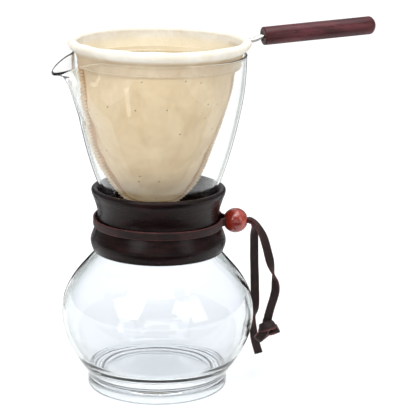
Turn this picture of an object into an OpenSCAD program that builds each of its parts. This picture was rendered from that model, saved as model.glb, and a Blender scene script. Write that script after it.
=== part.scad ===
// Cloth-filter drip pot.
// A one-piece glass pot has a flared cup, a narrow waist and a round bulb on a low foot.
// A turned wooden collar in two halves grips the waist. A leather thong ties the halves
// together and is drawn tight through a wooden bead. A cloth filter bag hangs in the cup
// from a wire hoop with a wooden handle.
// Millimetres. The origin is the centre of the foot on the table, +Z is up and the bead
// sits on the +X side.

/* [Glass pot] */
// Outer radius of the bulb at its widest
bulb_r = 55; // [54.5:0.1:55.2]
// Outer radius of the foot ring
foot_r = 40.2; // [39.8:0.1:40.5]
// Outer radius of the waist inside the collar
waist_r = 28.4; // [28:0.1:28.8]
// Outer radius of the cup at its rim
cup_r = 48.7; // [48.6:0.1:49]
// Height of the cup's rim above the table
rim_z = 193; // [192.8:0.1:193.2]
// Thickness of the glass wall
glass_t = 1.5; // [1.3:0.1:1.6]

/* [Spout] */
// Direction of the spout, counter-clockwise from +X
spout_az = 208; // [200:1:225]
// Half of the rim arc that the spout is pulled from
spout_half = 30; // [26:1:32]
// How far the spout's tip stands out from the cup
spout_reach = 15.5; // [12:0.5:17]
// How far the spout's tip dips below the rim
spout_dip = 8; // [5:0.5:9]
// Height at which the spout starts to swell out of the cup
spout_z = 156; // [150:1:162]

/* [Collar] */
// Height of the collar's lower edge
collar_z = 80.5; // [80:0.1:81]
// Height of the collar's upper edge
collar_top = 116.8; // [116:0.1:118]
// Outer radius of the collar at its lower bulge
collar_belly_r = 38.5; // [38:0.1:39.5]
// Outer radius of the collar at the groove for the thong
collar_waist_r = 34.6; // [34.4:0.1:34.8]
// Outer radius of the collar at its upper edge
collar_rim_r = 38.1; // [37.6:0.1:38.6]
// Space between the glass and the wood
collar_gap = 0.4; // [0.3:0.1:0.6]
// Space between the two halves of the collar
split_gap = 0.4; // [0.3:0.1:0.8]

/* [Thong and bead] */
// Width of the flat leather thong
thong_w = 5; // [4.6:0.1:5.4]
// Thickness of the thong
thong_t = 1.5; // [1.3:0.1:1.6]
// Height of the thong's centre line and of the bead
thong_z = 97.2; // [96.8:0.1:97.6]
// Radius of the two strands squeezed together in the bead
bundle_r = 2.5; // [2.3:0.1:2.6]
// Radius of the bead
bead_r = 7.1; // [6.9:0.1:7.3]
// Distance of the bead's centre from the pot's axis
bead_x = 43.9; // [43.8:0.1:44.2]
// Running clearance between the strands and the bead's bore
bead_clear = 0.06; // [0.03:0.01:0.09]

/* [Hoop and handle] */
// Radius of the wire hoop at its centre line
hoop_r = 48.3; // [48:0.1:48.6]
// Height of the wire hoop
hoop_z = 198.4; // [198:0.1:199]
// Diameter of the wire
wire_d = 2.2; // [1.8:0.1:2.3]
// Direction of the handle, counter-clockwise from +X
handle_az = 18; // [0:1:40]
// Diameter of the handle
handle_d = 10.4; // [9:0.1:12]
// Length of the handle
handle_len = 69.5; // [60:0.5:90]
// Distance of the handle's near end from the pot's axis
handle_near = 61.4; // [61:0.1:64]
// Height of the handle's near end
handle_z = 200; // [199:0.1:202]
// Upward tilt of the handle
handle_tilt = 3.4; // [0:0.1:5]

/* [Cloth filter] */
// Thickness of the cloth
cloth_t = 1.2; // [1:0.1:1.3]
// Radius of the rolled hem round the wire
hem_bead_r = 2.3; // [2.1:0.1:2.5]
// Height of the hem's lower edge
hem_z = 186; // [185.5:0.1:187]
// Height of the lowest point of the bag's sewn edge
bag_z = 105.5; // [105:0.1:106]
// Width of the sewn edge that stands out from the bag
seam_w = 4.5; // [4:0.1:5]
// Thickness of the sewn edge
seam_t = 2.4; // [2.2:0.1:2.8]
// Turn of the seam's plane from the X axis, counter-clockwise
seam_az = 10; // [0:1:15]

/* [Hidden] */
$fn = 96;

wood_colour = [0.16, 0.09, 0.08];
thong_colour = [0.24, 0.13, 0.13];
cloth_colour = [0.90, 0.84, 0.70];

// Height of the pot's inner floor, and the thickness of the floor
floor_z = 9;
floor_t = 2;
// Radial width of the foot ring and the rounding of its lower corners
foot_w = 3.4;
foot_round = 1.2;
// Rounding of the rim
lip = glass_t / 2;
// How far the spout's skin starts below the cup's surface
sunk = 0.5;

// Outer outline of the pot from the foot to just under the rim, as [radius, height]
pot_stations = [
    [foot_r, 7],
    [foot_r + 0.9, 9.6],
    [46.2, 17],
    [51.4, 26.5],
    [bulb_r - 0.6, 36],
    [bulb_r, 46],
    [bulb_r - 2, 55.5],
    [48, 64.5],
    [41.6, 72.5],
    [35.2, 80],
    [30.6, 87.5],
    [waist_r, 96],
    [29.6, 105],
    [33, 115],
    [36.8, 125.5],
    [40.3, 137],
    [43.3, 149],
    [45.8, 161],
    [47.6, 172.5],
    [cup_r - 0.3, 183.5],
    [cup_r, rim_z - glass_t / 2],
];

// Outer outline of the collar from its lower to its upper edge, as [radius, height]
collar_stations = [
    [37.3, collar_z + 0.6],
    [collar_belly_r - 0.2, collar_z + 3.5],
    [collar_belly_r, collar_z + 6.5],
    [collar_belly_r - 1.3, collar_z + 10.5],
    [collar_waist_r + 0.9, collar_z + 15],
    [collar_waist_r, collar_z + 20.5],
    [collar_waist_r + 0.5, collar_z + 25],
    [collar_waist_r + 2, collar_z + 30],
    [collar_rim_r - 0.4, collar_top - 3.5],
    [collar_rim_r, collar_top - 1.6],
];

// The wire's two ends run side by side, this far from the handle's plane
wire_r = wire_d / 2;
wire_off = wire_r + 0.1;
// Height at which they leave the hoop, and how deep they go into the handle
shank_z = hoop_z - 0.7;
wire_depth = 22;

// The bag's shape, as [height, reach of the sewn edge on the spout's side, reach on the
// other side, half depth of the pouch, width of the sewn edge]
bag_stations = [
    [hem_z - 0.3, 45.6, 44.6, 45, seam_w - 1.3],
    [180, 46.2, 42.8, 44, seam_w - 0.3],
    [173, 46, 41.8, 42.4, seam_w],
    [166, 44.8, 40, 40.2, seam_w],
    [158, 42.9, 37.4, 36.8, seam_w],
    [150, 40.9, 34.8, 33, seam_w],
    [141, 38.2, 31.4, 28, seam_w],
    [133, 34.8, 28.6, 23, seam_w],
    [126, 31, 25.6, 18, seam_w],
    [119, 26.6, 21.8, 12, seam_w],
    [114, 22.4, 17.8, 7, seam_w],
    [bag_z + seam_w, 18, 13, cloth_t + 0.2, seam_w],
];

// Routes of the thong's free ends, as [x, y, z, turn of the flat about the vertical].
// Each starts in the bead's mouth, and hangs beside the bulb without touching it.
exit_x = bead_x + bead_r + 0.4;
plain_route = [
    [exit_x, 0, thong_z - 0.9, 90],
    [52.8, 0.3, 96, 90],
    [54, 1.2, 94, 75],
    [54.6, 2.6, 91, 50],
    [55, 4, 87, 25],
    [55.3, 6, 80, 10],
    [55.6, 8, 73, 0],
    [56, 10, 66, 0],
    [56.4, 11.5, 59, 0],
    [56.7, 12.5, 52, 0],
    [57, 13, 45, 5],
    [57, 13, 39, 40],
    [56.8, 13, 35, 85],
    [56.6, 12.8, 31, 110],
    [56.6, 12.5, 26, 145],
    [57.6, 12.5, 20, 175],
    [59.8, 12.5, 12.5, 180],
];
knotted_route = [
    [exit_x, 0, thong_z + 0.9, 90],
    [53.4, 0, 97.6, 90],
    [55.6, 0.2, 95.6, 75],
    [57.8, 0.5, 92, 50],
    [60, 0.8, 87.5, 30],
    [61.8, 1.2, 82, 15],
    [63.4, 1.5, 76, 10],
    [64.8, 1.8, 70.5, 35],
    [66.6, 2, 64.5, 90],
    [67.8, 2.2, 59.5, 140],
    [68, 2.4, 54.5, 165],
    [67, 2.5, 49.5, 175],
    [65.6, 2.6, 44.5, 180],
    [64.4, 2.6, 39.5, 180],
    [63.8, 2.6, 36, 180],
];
// The knot's two lobes, and the stub that stands out of it
knot_upper = [64.4, 2.6, 32.4];
knot_lower = [61.6, 2.6, 28];
stub_tip = [69.6, 2.6, 31];

// ---- curves ----

// Point at t from 0 to 1 on the smooth curve that runs from b to c
function curve_pt(a, b, c, d, t) =
    0.5 * (2 * b + (c - a) * t + (2 * a - 5 * b + 4 * c - d) * t * t
        + (3 * b - a - 3 * c + d) * t * t * t);

// Smooth curve through every station, with n steps between each pair
function smooth(s, n) = [
    for (i = [0:len(s) - 2], k = [0:n - 1])
        curve_pt(s[max(i - 1, 0)], s[i], s[i + 1], s[min(i + 2, len(s) - 1)], k / n),
    s[len(s) - 1],
];

// Points of an arc about c from angle a to angle b, in n steps
function arc(c, r, a, b, n) = [
    for (i = [0:n]) c + r * [cos(a + (b - a) * i / n), sin(a + (b - a) * i / n)],
];

function unit(v) = v / norm(v);
function reversed(v) = [for (i = [len(v) - 1:-1:0]) v[i]];

// Direction of a list of points at its point i
function heading(p, i) = unit(p[min(i + 1, len(p) - 1)] - p[max(i - 1, 0)]);

// Point i of an outline that runs upwards, moved d to its left, which is inwards
function inward(p, i, d) = p[i] + d * [-heading(p, i)[1], heading(p, i)[0]];

// Radius of an outline at height z
function radius_at(p, z) = lookup(z, [for (q = p) [q[1], q[0]]]);

pot_outer = smooth(pot_stations, 4);
pot_inner = [
    for (i = [0:len(pot_outer) - 1])
        if (pot_outer[i][1] > 19) inward(pot_outer, i, glass_t),
];
collar_outer = smooth(collar_stations, 4);

// ---- solids from grids of points ----

// Closed solid between two grids of points with the same rows and columns. Rows run
// downwards and columns run counter-clockwise on grid a, which is the outer one.
module slab(a, b) {
    rows = len(a);
    cols = len(a[0]);
    all = concat([for (r = a, q = r) q], [for (r = b, q = r) q]);
    half = rows * cols;
    face_a = [
        for (i = [0:rows - 2], j = [0:cols - 2])
            let (k = i * cols + j)
            each [[k, k + cols, k + 1], [k + 1, k + cols, k + cols + 1]],
    ];
    face_b = [for (f = face_a) [f[0] + half, f[2] + half, f[1] + half]];
    top = [
        for (j = [0:cols - 2])
            each [[j, j + 1, half + j], [j + 1, half + j + 1, half + j]],
    ];
    foot = [
        for (j = [0:cols - 2])
            let (k = (rows - 1) * cols + j)
            each [[k, half + k, k + 1], [k + 1, half + k, half + k + 1]],
    ];
    start = [
        for (i = [0:rows - 2])
            let (k = i * cols)
            each [[k, half + k, k + cols], [k + cols, half + k, half + k + cols]],
    ];
    end = [
        for (i = [0:rows - 2])
            let (k = i * cols + cols - 1)
            each [[k, k + cols, half + k], [k + cols, half + k + cols, half + k]],
    ];
    // faces above are written counter-clockwise from outside, so they are turned round
    polyhedron(all, [for (f = concat(face_a, face_b, top, foot, start, end)) reversed(f)]);
}

// Closed tube through rings of points. Each ring runs counter-clockwise seen from its end.
module tube(rings) {
    n = len(rings);
    m = len(rings[0]);
    walls = [
        for (i = [0:n - 2], j = [0:m - 1])
            let (k = i * m, next = (j + 1) % m)
            each [[k + j, k + next, k + m + j], [k + next, k + m + next, k + m + j]],
    ];
    first = [for (j = [m - 1:-1:0]) j];
    last = [for (j = [0:m - 1]) (n - 1) * m + j];
    polyhedron(
        [for (r = rings, q = r) q],
        [for (f = concat(walls, [first, last])) reversed(f)]
    );
}

// Flat strap along a route of [x, y, z, turn], with an eight-sided section
module strap(route, w, t) {
    spots = [for (q = route) [q[0], q[1], q[2]]];
    corners = [[0.5, 0.25], [0.42, 0.5], [-0.42, 0.5], [-0.5, 0.25],
               [-0.5, -0.25], [-0.42, -0.5], [0.42, -0.5], [0.5, -0.25]];
    tube([
        for (i = [0:len(route) - 1])
            let (
                d = heading(spots, i),
                flat = [cos(route[i][3]), sin(route[i][3]), 0],
                side = unit(flat - (flat * d) * d),
                face = cross(d, side)
            )
            [for (c = corners) spots[i] + c[0] * w * side + c[1] * t * face],
    ]);
}

// Round rod along a path that never runs straight up
module rod(path, r) {
    sides = 12;
    tube([
        for (i = [0:len(path) - 1])
            let (
                d = heading(path, i),
                side = unit(cross([0, 0, 1], d)),
                up = cross(d, side)
            )
            [for (j = [0:sides - 1])
                path[i] + r * (cos(360 * j / sides) * side + sin(360 * j / sides) * up)],
    ]);
}

// ---- glass pot ----

// The spout's keel from where it leaves the cup to its tip, as [distance out, height]
spout_keel = smooth([
    [-0.4, spout_z],
    [0.16 * spout_reach, spout_z + 9],
    [0.32 * spout_reach, rim_z - 19],
    [0.46 * spout_reach, rim_z - 13],
    [0.64 * spout_reach, rim_z - spout_dip - 1.6],
    [0.82 * spout_reach, rim_z - spout_dip - 0.5],
    [spout_reach, rim_z - spout_dip],
], 2);

// Share of the keel's reach at u from -1 to 1 across the spout
function across(u) = pow(0.5 + 0.5 * cos(180 * u), 1.4);

// Point i rows up the spout at u across it. The skin starts sunk below the cup's
// surface, comes out through it, and is set back by inset.
function spout_pt(u, i, inset) =
    let (
        az = spout_az + u * spout_half,
        k = spout_keel[i],
        z = spout_z + (rim_z - 0.4 - spout_z) * i / (len(spout_keel) - 1),
        r = radius_at(pot_outer, z) + (k[0] + sunk) * across(u) - sunk - inset
    )
    [r * cos(az), r * sin(az), z + (k[1] - z) * pow(across(u), 1.5)];

// Solid that fills the spout out to its skin, set back by inset and raised by over
module spout_fill(inset, over) {
    cols = 20;
    rows = len(spout_keel) - 1;
    core_r = cup_r - 12;
    skin = [
        for (i = [0:rows])
            [for (j = [0:cols]) spout_pt(2 * j / cols - 1, rows - i, inset)],
    ];
    core = [
        for (row = skin)
            [for (j = [0:cols])
                let (az = spout_az + (2 * j / cols - 1) * spout_half)
                [core_r * cos(az), core_r * sin(az), row[j][2]]],
    ];
    up = [0, 0, over];
    slab(
        over > 0 ? concat([[for (q = skin[0]) q + up]], skin) : skin,
        over > 0 ? concat([[for (q = core[0]) q + up]], core) : core
    );
}

// The pot's outer shape with nothing inside it
module pot_outside() {
    foot = concat(
        [[0, floor_z - floor_t], [28, floor_z - floor_t]],
        smooth([[32.5, 6.4], [35.4, 4.4], [foot_r - foot_w, 2]], 3),
        arc([foot_r - foot_w + foot_round, foot_round], foot_round, 180, 270, 4),
        arc([foot_r - foot_round, foot_round], foot_round, 270, 360, 4)
    );
    rim = arc([cup_r - lip, rim_z - lip], lip, 30, 80, 3);
    rotate_extrude()
        polygon(concat(foot, pot_outer, rim, [[0, rim[3][1]]]));
}

// The room inside the pot, open at the top
module pot_inside() {
    floor_curve = smooth([[28, floor_z], [33.5, 9.9], [38.6, 12.4], [43, 16.4]], 3);
    rim = reversed(arc([cup_r - lip, rim_z - lip], lip, 105, 150, 3));
    rotate_extrude()
        polygon(concat(
            [[0, floor_z]],
            floor_curve,
            pot_inner,
            rim,
            [[rim[3][0], rim_z + 5], [0, rim_z + 5]]
        ));
}

module glass_pot() {
    color([0.86, 0.92, 0.90, 0.35])
    difference() {
        union() {
            pot_outside();
            spout_fill(0, 0);
        }
        pot_inside();
        spout_fill(glass_t, 12);
    }
}

// ---- collar ----

// Section of the collar, with its bore following the glass
module collar_section() {
    glass = [for (i = [0:len(pot_outer) - 1])
        if (pot_outer[i][1] > collar_z + 0.5 && pot_outer[i][1] < collar_top - 3)
            inward(pot_outer, i, -collar_gap)];
    polygon(concat(
        [[radius_at(pot_outer, collar_z) + collar_gap + 0.4, collar_z]],
        [[36.7, collar_z]],
        collar_outer,
        arc([collar_rim_r - 1.6, collar_top - 1.6], 1.6, 20, 90, 5),
        [[collar_rim_r - 3.6, collar_top - 1]],
        [[radius_at(pot_outer, collar_top - 2.6) + collar_gap + 0.6, collar_top - 2.6]],
        reversed(glass)
    ));
}

module collar_half(side) {
    color(wood_colour)
    difference() {
        rotate_extrude()
            collar_section();
        translate([-60, side > 0 ? -60 + split_gap / 2 : -split_gap / 2, collar_z - 5])
            cube([120, 60, collar_top - collar_z + 10]);
    }
}

module collar_front() {
    collar_half(-1);
}

module collar_back() {
    collar_half(1);
}

// ---- thong ----

// Band of the thong round the collar's groove, and the strands that enter the bead
module thong_loop() {
    low = thong_z - thong_w / 2;
    high = thong_z + thong_w / 2;
    low_r = radius_at(collar_outer, low) + 0.2;
    high_r = radius_at(collar_outer, high) + 0.2;
    mid_r = radius_at(collar_outer, thong_z) + 0.2;
    gap = 4;
    color(thong_colour)
    union() {
        rotate([0, 0, gap])
            rotate_extrude(angle = 360 - 2 * gap)
                polygon([
                    [low_r, low],
                    [low_r + thong_t * 0.8, low],
                    [mid_r + thong_t, thong_z],
                    [high_r + thong_t * 0.8, high],
                    [high_r, high],
                    [mid_r, thong_z],
                ]);
        translate([low_r, 0, thong_z])
            rotate([0, 90, 0])
                cylinder(h = bead_x + 2.6 - low_r, r = bundle_r);
        for (side = [-1, 1])
            rotate([0, 0, side * gap / 2])
                translate([low_r, -1.3, thong_z - thong_w / 2])
                    cube([thong_t - 0.3, 2.6, thong_w]);
    }
}

// The stretch of both strands in the outer half of the bead
module thong_ends() {
    color(thong_colour)
    translate([bead_x + 2.8, 0, thong_z])
        rotate([0, 90, 0])
            cylinder(h = exit_x - bead_x - 3.4, r = bundle_r);
}

module thong_tail_plain() {
    color(thong_colour)
    strap(plain_route, thong_w, thong_t);
}

module thong_tail_knotted() {
    color(thong_colour)
    strap(knotted_route, thong_w, thong_t);
}

module thong_knot() {
    color(thong_colour)
    union() {
        hull() {
            translate(knot_upper)
                sphere(r = 3.4, $fn = 24);
            translate(knot_lower)
                sphere(r = 3.2, $fn = 24);
        }
        hull() {
            translate(knot_upper)
                cube([thong_w * 0.6, thong_t, thong_w * 0.8], center = true);
            translate(stub_tip)
                cube([thong_t, thong_t, thong_w * 0.8], center = true);
        }
    }
}

// ---- bead ----

module bead() {
    color([0.55, 0.14, 0.12])
    translate([bead_x, 0, thong_z])
        rotate([0, 90, 0])
            difference() {
                sphere(r = bead_r);
                translate([0, 0, -bead_r - 1])
                    cylinder(h = 2 * bead_r + 2, r = bundle_r + bead_clear);
            }
}

// ---- hoop and handle ----

// Places things in the upright plane through the handle, with +X along it
module along_handle() {
    rotate([0, 0, handle_az])
        translate([handle_near, 0, handle_z])
            rotate([0, -handle_tilt, 0])
                children();
}

// Piece of wire from the origin along +X
module straight(r, h) {
    rotate([0, 90, 0])
        cylinder(h = h, r = r);
}

// One end of the wire: out of the hoop, up to the handle and into it
module shank(side, r) {
    along = [cos(handle_tilt), 0, sin(handle_tilt)];
    mouth = [handle_near, side * wire_off, handle_z];
    rotate([0, 0, handle_az])
        rod(concat(
            smooth([
                [hoop_r, side * wire_off, shank_z],
                [hoop_r + 4, side * wire_off, shank_z],
                [hoop_r + 7.6, side * wire_off, shank_z + 0.3],
                mouth - 2.4 * along - [0, 0, 0.7],
                mouth,
            ], 3),
            [mouth + 2.4 * along, mouth + wire_depth * along]
        ), r);
}

module hoop_wire() {
    color([0.78, 0.78, 0.76])
    union() {
        translate([0, 0, hoop_z])
            rotate_extrude()
                translate([hoop_r, 0])
                    circle(r = wire_r);
        shank(-1, wire_r);
        shank(1, wire_r);
    }
}

module handle() {
    r = handle_d / 2;
    dome = 3;
    // Radius of the ball whose cap rounds the far end
    cap_r = (r * r + dome * dome) / (2 * dome);
    half = asin(r / cap_r);
    color(wood_colour)
    difference() {
        along_handle()
            rotate([0, 90, 0])
                rotate_extrude()
                    polygon(concat(
                        [[0, 0], [r - 0.6, 0], [r, 0.6]],
                        arc([0, handle_len - cap_r], cap_r, 90 - half, 90, 8)
                    ));
        along_handle()
            for (side = [-1, 1])
                translate([-1, side * wire_off, 0])
                    straight(wire_r + 0.05, wire_depth + 1.5);
    }
}

// ---- cloth filter ----

bag_rows = smooth(bag_stations, 2);

// Row of one half of the pouch, from the seam round to the seam. side is -1 for the front.
function bag_row(s, side, inset) =
    let (
        far = s[1] - s[4],
        near = s[2] - s[4],
        half = (far + near) / 2 - inset,
        shift = (near - far) / 2
    )
    [
        for (j = [0:24])
            let (a = side > 0 ? 180 * j / 24 : 180 + 180 * j / 24)
            [
                shift + half * cos(a),
                side * 0.05 + (s[3] - inset) * sin(a),
                s[0] + (inset > 0 ? 0.05 : 0),
            ],
    ];

module bag_half(side) {
    color(cloth_colour)
    rotate([0, 0, seam_az])
        slab(
            [for (s = bag_rows) bag_row(s, side, 0)],
            [for (s = bag_rows) bag_row(s, side, cloth_t)]
        );
}

module bag_front() {
    bag_half(-1);
}

module bag_back() {
    bag_half(1);
}

// Sewn edge where the two halves of the bag are joined
module seam_edge() {
    // Just clear of the pouch, whose sides curve away from the seam
    skirt = 0.1;
    color([0.80, 0.70, 0.52])
    rotate([90, 0, seam_az])
        linear_extrude(height = seam_t, center = true)
            polygon(concat(
                [for (s = bag_rows) [-s[1], s[0]]],
                [[-13.4, bag_z + 1.6], [-8, bag_z], [3, bag_z], [8.6, bag_z + 1.6]],
                reversed([for (s = bag_rows) [s[2], s[0]]]),
                [for (s = bag_rows) [s[2] - s[4] + skirt, s[0]]],
                [[8, bag_z + seam_w - skirt], [-13, bag_z + seam_w - skirt]],
                reversed([for (s = bag_rows) [-s[1] + s[4] - skirt, s[0]]])
            ));
}

// Cloth rolled round the hoop, with the cuff that hangs inside the pot's rim
module hem_band() {
    top = arc([hoop_r, hoop_z], hem_bead_r, -60, 232, 20);
    color([0.95, 0.93, 0.88])
    difference() {
        rotate_extrude()
            polygon(concat(
                top,
                [
                    [hoop_r - 3.4, 195],
                    [hoop_r - 4.2, 191],
                    [hoop_r - 4.7, hem_z],
                    [hoop_r - 3.2, hem_z],
                    [hoop_r - 2.7, 190.5],
                    [hoop_r - 1.9, 193.4],
                ]
            ));
        translate([0, 0, hoop_z])
            rotate_extrude()
                translate([hoop_r, 0])
                    circle(r = wire_r + 0.05);
        rotate([0, 0, handle_az])
            for (side = [-1, 1])
                translate([hoop_r, side * wire_off, shank_z])
                    straight(wire_r + 0.05, 6);
    }
}

// Line of stitching round the hem's lower edge
module hem_stitch() {
    color([0.86, 0.76, 0.56])
    translate([0, 0, hem_z + 1.2])
        rotate_extrude()
            translate([hoop_r - 2.6, 0])
                circle(r = 0.3);
}

glass_pot();
collar_front();
collar_back();
thong_loop();
thong_ends();
thong_tail_plain();
thong_tail_knotted();
thong_knot();
bead();
hoop_wire();
handle();
bag_front();
bag_back();
hem_band();
hem_stitch();
seam_edge();
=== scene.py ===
import math
import bmesh
import bpy
from mathutils import Matrix, Vector, noise


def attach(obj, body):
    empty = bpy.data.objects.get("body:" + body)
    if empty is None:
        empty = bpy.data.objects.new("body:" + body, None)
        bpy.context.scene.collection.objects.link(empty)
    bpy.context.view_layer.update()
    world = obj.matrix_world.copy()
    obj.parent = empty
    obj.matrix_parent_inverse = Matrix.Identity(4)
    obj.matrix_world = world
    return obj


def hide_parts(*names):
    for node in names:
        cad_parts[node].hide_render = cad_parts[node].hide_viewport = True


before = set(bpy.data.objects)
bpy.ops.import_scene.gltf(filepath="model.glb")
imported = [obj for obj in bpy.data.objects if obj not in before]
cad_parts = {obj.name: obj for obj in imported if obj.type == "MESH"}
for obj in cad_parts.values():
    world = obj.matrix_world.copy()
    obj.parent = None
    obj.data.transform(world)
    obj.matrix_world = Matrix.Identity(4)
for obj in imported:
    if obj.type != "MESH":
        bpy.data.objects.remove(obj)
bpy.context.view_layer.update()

MM = 0.001

# ---- sizes, in millimetres
GLASS_T = 1.5
RIM_Z = 193.0
COLLAR_Z = 80.5
COLLAR_TOP = 116.8
THONG_W = 5.0
THONG_T = 1.5
THONG_Z = 97.2
BEAD_X = 43.9
BEAD_R = 7.1
BUNDLE_R = 2.5
HOOP_R = 48.3
HOOP_Z = 198.4
WIRE_R = 1.1
HANDLE_AZ = math.radians(18)
HANDLE_TILT = math.radians(3.4)
HANDLE_R = 5.2
HANDLE_LEN = 69.5
HANDLE_NEAR = 61.4
HANDLE_Z = 200.0
SEAM_AZ = math.radians(10)
CLOTH_T = 0.9
SPOUT_AZ = 208.0
SPOUT_HALF = 30.0
SPOUT_Z = 156.0
SEWN_EDGE = 4.5
NEEDLE_IN = 5.2
HEM_STITCH_Z = 187.3

# The routes of the thong's free ends, as in the CAD: x, y, z and the turn of the flat
PLAIN_ROUTE = [
    (51.4, 0, 96.3, 90), (52.8, 0.3, 96, 90), (54, 1.2, 94, 75), (54.6, 2.6, 91, 50),
    (55, 4, 87, 25), (55.3, 6, 80, 10), (55.6, 8, 73, 0), (56, 10, 66, 0),
    (56.4, 11.5, 59, 0), (56.7, 12.5, 52, 0), (57, 13, 45, 5), (57, 13, 39, 40),
    (56.8, 13, 35, 85), (56.6, 12.8, 31, 110), (56.6, 12.5, 26, 145),
    (57.6, 12.5, 20, 175), (59.8, 12.5, 12.5, 180),
]
KNOTTED_ROUTE = [
    (51.4, 0, 98.1, 90), (53.4, 0, 97.6, 90), (55.6, 0.2, 95.6, 75), (57.8, 0.5, 92, 50),
    (60, 0.8, 87.5, 30), (61.8, 1.2, 82, 15), (63.4, 1.5, 76, 10), (64.8, 1.8, 70.5, 35),
    (66.6, 2, 64.5, 90), (67.8, 2.2, 59.5, 140), (68, 2.4, 54.5, 165),
    (67, 2.5, 49.5, 175), (65.6, 2.6, 44.5, 180), (64.4, 2.6, 39.5, 180),
    (63.8, 2.6, 36, 180),
]
# The overhand knot that the knotted end is tied in, from the tail to its short stub
KNOT_ROUTE = [
    (63.9, 2.6, 36.6), (63.6, 2.4, 34.4), (62.4, 0.4, 31.0), (60.2, -0.2, 27.6),
    (58.9, 2.2, 25.4), (60.6, 5.2, 25.6), (64.2, 5.9, 28.4), (66.9, 4.0, 31.8),
    (66.4, 0.6, 34.2), (63.4, -1.2, 33.8), (60.6, 0.4, 32.2), (60.8, 4.0, 30.2),
    (63.8, 4.4, 29.2), (66.8, 2.9, 29.9), (70.1, 2.4, 31.6),
]

# ---- curves


def curve_pt(a, b, c, d, t):
    """Point at t from 0 to 1 on the smooth curve from b to c."""
    return tuple(
        0.5 * (2 * q + (r - p) * t + (2 * p - 5 * q + 4 * r - s) * t * t
               + (3 * q - p - 3 * r + s) * t ** 3)
        for p, q, r, s in zip(a, b, c, d)
    )


def smooth(pts, n):
    """Smooth curve through every point, with n steps between each pair."""
    out = []
    last = len(pts) - 1
    for i in range(last):
        a, b, c, d = pts[max(i - 1, 0)], pts[i], pts[i + 1], pts[min(i + 2, last)]
        out += [curve_pt(a, b, c, d, k / n) for k in range(n)]
    out.append(tuple(float(x) for x in pts[-1]))
    return out


def arc(cx, cy, r, start, end, n):
    """Points of an arc, with its angles in degrees."""
    out = []
    for i in range(n + 1):
        a = math.radians(start + (end - start) * i / n)
        out.append((cx + r * math.cos(a), cy + r * math.sin(a)))
    return out


def lookup(pairs, x):
    """The value at x in a list of (x, value) sorted by x."""
    if x <= pairs[0][0]:
        return pairs[0][1]
    for (x0, y0), (x1, y1) in zip(pairs, pairs[1:]):
        if x <= x1:
            return y0 + (y1 - y0) * (x - x0) / max(x1 - x0, 1e-9)
    return pairs[-1][1]


def ease(x, lo, hi):
    """Smooth step from 0 at lo to 1 at hi."""
    t = min(max((x - lo) / (hi - lo), 0.0), 1.0)
    return t * t * (3 - 2 * t)


def wobble(x, y, z, size, seed=0.0):
    """Smooth noise from about -1 to 1, with bumps of about this size."""
    return noise.noise(Vector((x / size + seed, y / size - seed, z / size + 2 * seed)))


def polar(r, a, z):
    """The point at radius r, at angle a about Z in radians, and at height z."""
    return (r * math.cos(a), r * math.sin(a), z)


# ---- meshes


def new_mesh(name, verts, faces, attrs=None):
    """A mesh from points in millimetres. attrs holds named values, one to each point."""
    mesh = bpy.data.meshes.new(name)
    mesh.from_pydata([Vector(v) * MM for v in verts], [], faces)
    for key, values in (attrs or {}).items():
        mesh.attributes.new(key, "FLOAT", "POINT").data.foreach_set("value", values)
    return mesh


def in_scene(name, data):
    """A new object, linked into the scene."""
    obj = bpy.data.objects.new(name, data)
    bpy.context.scene.collection.objects.link(obj)
    return obj


def new_piece(name, verts, faces, material, body, nodes, slot, crease, attrs=None):
    """Makes a piece, which rides on a body and replaces CAD nodes.

    An edge that turns more than crease degrees is drawn sharp. The material reads attrs.
    """
    mesh = new_mesh(name, verts, faces, attrs)
    bm = bmesh.new()
    bm.from_mesh(mesh)
    bmesh.ops.recalc_face_normals(bm, faces=bm.faces)
    for f in bm.faces:
        f.smooth = True
    for e in bm.edges:
        if len(e.link_faces) == 2 and e.calc_face_angle(0) > math.radians(crease):
            e.smooth = False
    bm.to_mesh(mesh)
    bm.free()
    mesh.materials.append(material)
    obj = in_scene(name, mesh)
    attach(obj, body)
    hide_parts(*nodes)
    return obj


def grid_faces(rows, cols, wrap_rows=False, wrap_cols=False):
    """Quads of a grid of points, stored row by row."""
    faces = []
    for i in range(rows if wrap_rows else rows - 1):
        for j in range(cols if wrap_cols else cols - 1):
            a = i * cols + j
            b = i * cols + (j + 1) % cols
            c = ((i + 1) % rows) * cols + (j + 1) % cols
            d = ((i + 1) % rows) * cols + j
            faces.append((a, b, c, d))
    return faces


def pole_faces(rows, columns):
    """Faces of a closed surface: rings of points between a first and a last single point."""
    faces = [tuple(k + 1 for k in f) for f in grid_faces(rows, columns, wrap_cols=True)]
    base = 1 + (rows - 1) * columns
    for j in range(columns):
        k = (j + 1) % columns
        faces.append((0, 1 + k, 1 + j))
        faces.append((base + columns, base + j, base + k))
    return faces


def lathe(profile, columns):
    """Closed solid of revolution about Z. The profile starts and ends on the axis."""
    verts = [(0.0, 0.0, profile[0][1])]
    verts += [polar(r, 2 * math.pi * j / columns, z)
              for r, z in profile[1:-1] for j in range(columns)]
    verts.append((0.0, 0.0, profile[-1][1]))
    return verts, pole_faces(len(profile) - 2, columns)


def ring_solid(section, columns, start=0.0, end=360.0):
    """Solid made by turning a closed section of (radius, height) about Z."""
    whole = abs(end - start - 360.0) < 1e-6
    rows = columns if whole else columns + 1
    n = len(section)
    verts = []
    for i in range(rows):
        a = math.radians(start + (end - start) * i / columns)
        verts += [polar(r, a, z) for r, z in section]
    faces = grid_faces(rows, n, wrap_rows=whole, wrap_cols=True)
    if not whole:
        faces.append(tuple(range(n)))
        faces.append(tuple(range((rows - 1) * n, rows * n)))
    return verts, faces


def heading(path, i):
    """The way a path runs at its point i."""
    last = len(path) - 1
    return Vector(path[min(i + 1, last)]) - Vector(path[max(i - 1, 0)])


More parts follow.
